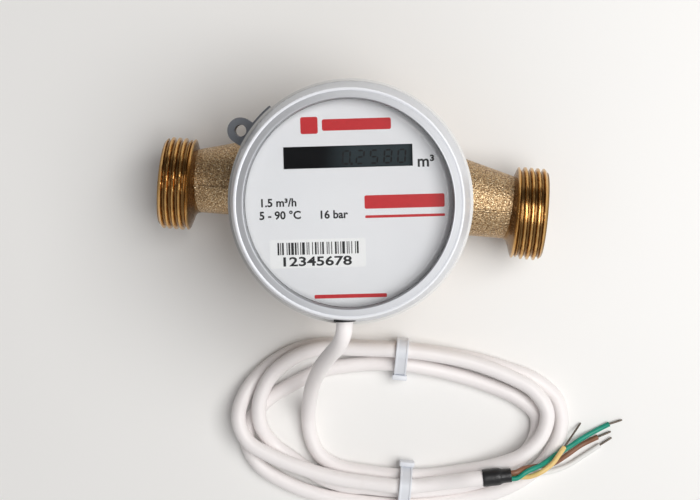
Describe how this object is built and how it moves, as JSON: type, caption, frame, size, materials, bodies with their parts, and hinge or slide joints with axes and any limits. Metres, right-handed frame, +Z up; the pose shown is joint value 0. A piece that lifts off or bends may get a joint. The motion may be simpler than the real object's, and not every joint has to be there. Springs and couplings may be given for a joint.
{
  "type": "water meter",
  "caption": "Single-jet water meter: sand-cast brass body with male threaded ends, round grey electronic register with display, and a coiled signal cable.",
  "frame": {"origin": "on the surface the meter stands on, under the register axis, midway between the end faces", "axes": "+Z up along the register axis, +X along the pipe with the flow, +Y away from the cable"},
  "size_m": [0.1408, 0.1271, 0.0672],
  "materials": {
    "cast_brass": "sand cast with machined ends",
    "turned_brass": "turned",
    "steel": "plain",
    "magnet": "sintered",
    "jewel": "polished",
    "bearing_plastic": "moulded",
    "blue_plastic": "moulded",
    "dark_plastic": "moulded",
    "pale_plastic": "moulded",
    "base_plastic": "moulded, satin",
    "cover_plastic": "moulded, satin",
    "clear_plastic": "clear, polished",
    "face_white": "printed",
    "display_dark": "glossy",
    "board_green": "lacquered",
    "black_rubber": "matt",
    "grey_rubber": "matt",
    "grommet_rubber": "matt",
    "cable_sheath": "satin sheath",
    "tie_white": "moulded",
    "shrink_black": "satin",
    "wire_brown": "satin",
    "wire_green": "satin",
    "wire_yellow": "satin",
    "wire_white": "satin",
    "bare_wire": "tinned strand"
  },
  "bodies": {
    "body": {"meter_body": "cast_brass", "inlet_strainer": "pale_plastic", "lower_pivot": "steel", "pressure_plate": "dark_plastic", "plate_seal": "black_rubber", "upper_bearing": "bearing_plastic", "clamp_ring": "turned_brass", "shield_ring": "steel", "signal_cable_loops": "cable_sheath", "upper_tie": "tie_white", "lower_tie": "tie_white", "end_sleeve": "shrink_black", "wire_brown": "wire_brown", "wire_green": "wire_green", "wire_yellow": "wire_yellow", "wire_white": "wire_white", "wire_cores": "bare_wire"},
    "rotor": {"impeller": "blue_plastic", "impeller_shaft": "steel", "jewel_bearing": "jewel", "rotor_magnet": "magnet"},
    "register": {"register_base": "base_plastic", "register_cover": "cover_plastic", "cover_lens": "clear_plastic", "lens_gasket": "black_rubber", "dial_plate": "face_white", "dial_carrier": "pale_plastic", "display_module": "display_dark", "display_frame": "pale_plastic", "contact_strips": "grey_rubber", "circuit_board": "board_green", "controller_chip": "dark_plastic", "battery": "steel", "battery_clip": "steel", "sensor_board": "board_green", "hall_sensors": "dark_plastic", "cable_connector": "pale_plastic", "board_screws": "steel", "cable_grommet": "grommet_rubber", "signal_cable_drop": "cable_sheath"}
  },
  "joints": [
    {"name": "impeller_spin", "type": "hinge", "parent": "body", "child": "rotor", "pos_m": [0, 0, 0.017], "axis": [0, 0, 1], "continuous": true},
    {"name": "register_swivel", "type": "hinge", "parent": "body", "child": "register", "pos_m": [0, 0, 0.0455], "axis": [0, 0, 1], "range_deg": [-96.5, 83.5], "deforming": ["signal_cable_drop"]}
  ]
}
